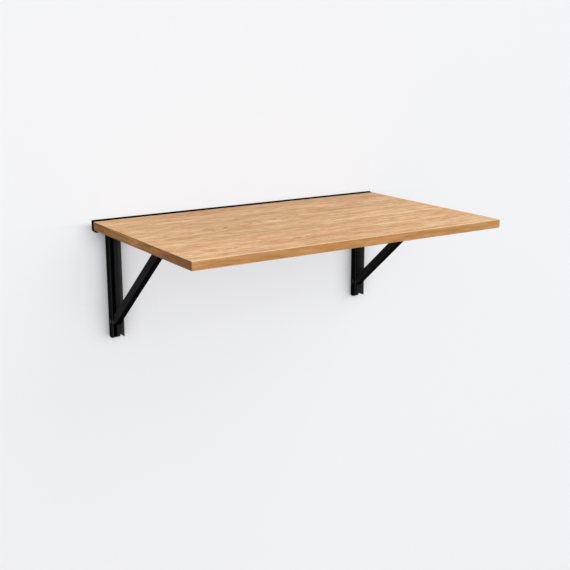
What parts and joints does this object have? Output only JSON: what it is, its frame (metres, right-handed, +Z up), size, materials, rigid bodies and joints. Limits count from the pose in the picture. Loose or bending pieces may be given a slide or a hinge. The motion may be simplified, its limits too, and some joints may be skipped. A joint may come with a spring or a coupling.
{
  "type": "wall mounted drop leaf table",
  "caption": "Wall mounted drop leaf table: wooden leaf hinged to a steel wall rail, held level by folding struts that turn in open wall channels.",
  "frame": {"origin": "middle of the wall rail's back face, at the height of its screw holes, on the wall", "axes": "+X along the wall, +Y into the wall, +Z up"},
  "size_m": [1, 0.612, 0.3558],
  "materials": {
    "oak": "satin clear-coated light oak",
    "black_steel": "satin black powder coat",
    "hinge_steel": "satin black",
    "black_zinc": "black zinc plate",
    "nylon": "matte black nylon",
    "rubber": "matte"
  },
  "bodies": {
    "wall_side": {"wall_rail": "black_steel", "hinge_rail_plate": "hinge_steel", "hinge_pin": "black_zinc", "hinge_rail_rivets": "black_zinc", "left_wall_channel": "black_steel", "right_wall_channel": "black_steel", "left_pivot_pin": "black_zinc", "right_pivot_pin": "black_zinc", "left_pivot_spacers": "nylon", "right_pivot_spacers": "nylon"},
    "leaf": {"leaf_panel": "oak", "hinge_leaf_plate": "hinge_steel", "hinge_leaf_screws": "black_zinc", "left_strut_keeper": "black_steel", "right_strut_keeper": "black_steel", "left_keeper_screws": "black_zinc", "right_keeper_screws": "black_zinc", "left_leaf_buffer": "rubber", "right_leaf_buffer": "rubber"},
    "left_strut": {"left_strut": "black_steel", "left_strut_foot_plug": "nylon", "left_strut_head_pad": "nylon"},
    "right_strut": {"right_strut": "black_steel", "right_strut_foot_plug": "nylon", "right_strut_head_pad": "nylon"}
  },
  "joints": [
    {"name": "leaf_hinge", "type": "hinge", "parent": "wall_side", "child": "leaf", "pos_m": [0, -0.034, -0.014], "axis": [1, 0, 0], "range_deg": [0, 90]},
    {"name": "left_strut_hinge", "type": "hinge", "parent": "wall_side", "child": "left_strut", "pos_m": [-0.443, -0.016, -0.286], "axis": [1, 0, 0], "range_deg": [0, 130.5]},
    {"name": "right_strut_hinge", "type": "hinge", "parent": "wall_side", "child": "right_strut", "pos_m": [0.443, -0.016, -0.286], "axis": [1, 0, 0], "range_deg": [0, 130.5]}
  ],
  "couplings": [
    {"joint": "left_strut_hinge", "follows": "leaf_hinge", "ratio": 1.45},
    {"joint": "right_strut_hinge", "follows": "leaf_hinge", "ratio": 1.45}
  ]
}
